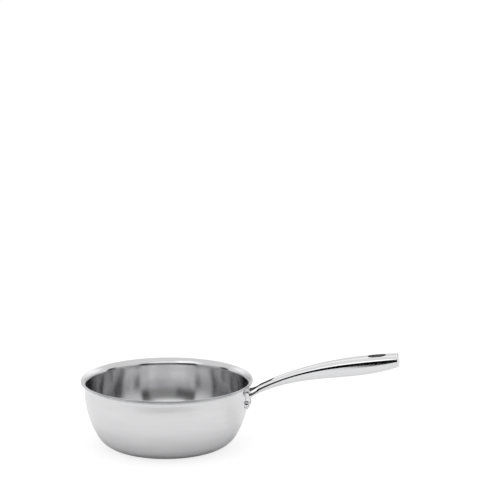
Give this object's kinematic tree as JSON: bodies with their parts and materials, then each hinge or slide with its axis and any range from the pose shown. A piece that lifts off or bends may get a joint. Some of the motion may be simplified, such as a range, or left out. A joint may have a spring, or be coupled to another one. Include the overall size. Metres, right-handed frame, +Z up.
{
  "type": "saucier pan",
  "caption": "Round-sided saucier pan of bonded three-ply sheet with a flared pouring rim and a hollow arched steel grip riveted on by a forked bracket.",
  "frame": {"origin": "on the hob, under the centre of the bowl", "axes": "+Z up out of the bowl, +X towards the end of the handle"},
  "size_m": [0.391, 0.2114, 0.1244],
  "materials": {
    "outer_skin": "satin, brushed round the bowl",
    "core": "plain, shows only as a line at the rim's edge",
    "liner": "brushed round the bowl",
    "bracket": "cast stainless steel, polished",
    "grip": "pressed stainless steel, polished",
    "eyelet": "stainless tube, polished",
    "rivets": "stainless steel, satin"
  },
  "bodies": {
    "root": {"bowl_inner_ply": "liner", "bowl_middle_ply": "core", "bowl_outer_ply": "outer_skin", "handle_bracket": "bracket", "grip_upper_shell": "grip", "grip_lower_shell": "grip", "grip_end_cap": "grip", "hanging_eyelet": "eyelet", "upper_rivet": "rivets", "lower_rivets": "rivets"}
  },
  "joints": []
}
